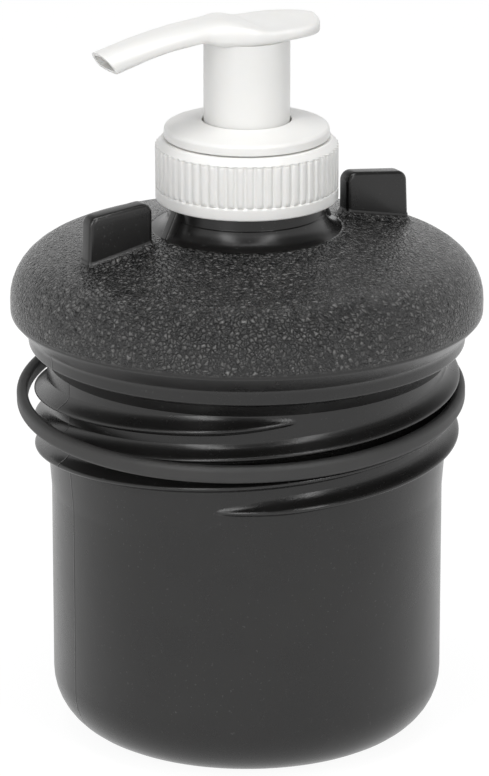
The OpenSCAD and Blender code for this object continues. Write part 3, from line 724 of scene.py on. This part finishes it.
blackPlastic = makeBlackPlastic(blackValues)
rubber = makePlastic("mattRubber", (0.022, 0.022, 0.022), (0.034, 0.033, 0.032), 0.5, 220.0, 0.00008)
whitePlastic = makePlastic("whitePlastic", (0.87, 0.865, 0.85), (0.85, 0.845, 0.825), 0.3, 70.0, 0.00005, 0.15)
naturalPlastic = makePlastic("naturalPlastic", (0.80, 0.82, 0.81), (0.75, 0.77, 0.76), 0.35, 90.0, 0.00004, 0.3)
steel = makeSteel()

finishes = {
    blackPlastic: [vessel], rubber: [sealRing], steel: [ball, spring],
    whitePlastic: [ribbedClosure, pressHead, lockCollar, housing, seat, stem],
    naturalPlastic: [gasket, tube, seal],
}
for material, pieces in finishes.items():
    for piece in pieces:
        piece.data.materials.clear()
        piece.data.materials.append(material)
print("materials set")


# Studio: white floor and surround, soft panels
studioValues = {"floorSize": 3.0, "worldStrength": 0.22, "floorGlow": 0.93,
                "backdropTo": 0.3, "ceilingFrom": 0.6, "panelAim": 0.08, "panelDistance": 1.2}
# azimuth and elevation in degrees, width and height in metres, power in watts
panelValues = {
    "leftPanel": (-58, 28, 0.2, 1.3, 6),
    "rightPanel": (4, 34, 0.14, 1.2, 4.5),
    "topPanel": (-29, 80, 0.8, 0.45, 6),
}


def makeFloor(v):
    bm = bmesh.new()
    bmesh.ops.create_grid(bm, x_segments=1, y_segments=1, size=v["floorSize"])
    mesh = bpy.data.meshes.new("floor")
    bm.to_mesh(mesh)
    bm.free()
    floor = bpy.data.objects.new("floor", mesh)
    scene.collection.objects.link(floor)
    material = bpy.data.materials.new("paleFloor")
    material.use_nodes = True
    tree = material.node_tree
    tree.nodes.clear()
    out = addNode(tree, "ShaderNodeOutputMaterial")
    path = addNode(tree, "ShaderNodeLightPath")
    seen = mathNode(tree, "MAXIMUM", path.outputs["Is Camera Ray"], path.outputs["Is Glossy Ray"])
    seen = mathNode(tree, "MAXIMUM", seen, path.outputs["Is Transmission Ray"])
    plain = addNode(tree, "ShaderNodeBsdfDiffuse", {"Color": (0.8, 0.8, 0.8, 1)})
    faint = addNode(tree, "ShaderNodeBsdfDiffuse", {"Color": (0.14, 0.14, 0.14, 1)})
    glow = addNode(tree, "ShaderNodeEmission", {"Color": (1, 1, 1, 1), "Strength": v["floorGlow"]})
    both = addNode(tree, "ShaderNodeAddShader")
    tree.links.new(faint.outputs[0], both.inputs[0])
    tree.links.new(glow.outputs[0], both.inputs[1])
    mix = addNode(tree, "ShaderNodeMixShader")
    tree.links.new(seen, mix.inputs[0])
    tree.links.new(plain.outputs[0], mix.inputs[1])
    tree.links.new(both.outputs[0], mix.inputs[2])
    tree.links.new(mix.outputs[0], out.inputs["Surface"])
    mesh.materials.append(material)


def makeWorld(v):
    world = bpy.data.worlds.new("studio")
    scene.world = world
    world.use_nodes = True
    tree = world.node_tree
    tree.nodes.clear()
    out = addNode(tree, "ShaderNodeOutputWorld")
    path = addNode(tree, "ShaderNodeLightPath")
    room = addNode(tree, "ShaderNodeBackground", {"Color": (1, 1, 1, 1), "Strength": v["worldStrength"]})
    backdrop = addNode(tree, "ShaderNodeBackground", {"Color": (1, 1, 1, 1), "Strength": 1.0})
    # reflections see the white backdrop low down and the dimmer ceiling above it
    around = addNode(tree, "ShaderNodeTexCoord")
    split = addNode(tree, "ShaderNodeSeparateXYZ")
    tree.links.new(around.outputs["Generated"], split.inputs[0])
    low = mapNode(tree, split.outputs["Z"], v["ceilingFrom"], v["backdropTo"])
    mix = addNode(tree, "ShaderNodeMixShader")
    through = mathNode(tree, "MAXIMUM", path.outputs["Is Glossy Ray"], path.outputs["Is Transmission Ray"])
    seen = mathNode(tree, "MAXIMUM", path.outputs["Is Camera Ray"], mathNode(tree, "MULTIPLY", through, low))
    tree.links.new(seen, mix.inputs[0])
    tree.links.new(room.outputs[0], mix.inputs[1])
    tree.links.new(backdrop.outputs[0], mix.inputs[2])
    tree.links.new(mix.outputs[0], out.inputs["Surface"])


def lightPanel(name, azimuth, elevation, width, height, power):
    data = bpy.data.lights.new(name, "AREA")
    data.shape = "RECTANGLE"
    data.size = width
    data.size_y = height
    data.energy = power
    lamp = bpy.data.objects.new(name, data)
    scene.collection.objects.link(lamp)
    aim = Vector((0, 0, studioValues["panelAim"]))
    lamp.location = aim + studioValues["panelDistance"] * lookDirection(azimuth, elevation)
    lamp.rotation_euler = (aim - lamp.location).to_track_quat("-Z", "Y").to_euler()


makeFloor(studioValues)
makeWorld(studioValues)
for name, values in panelValues.items():
    lightPanel(name, *values)

scene.view_settings.view_transform = "Standard"
print("studio set")
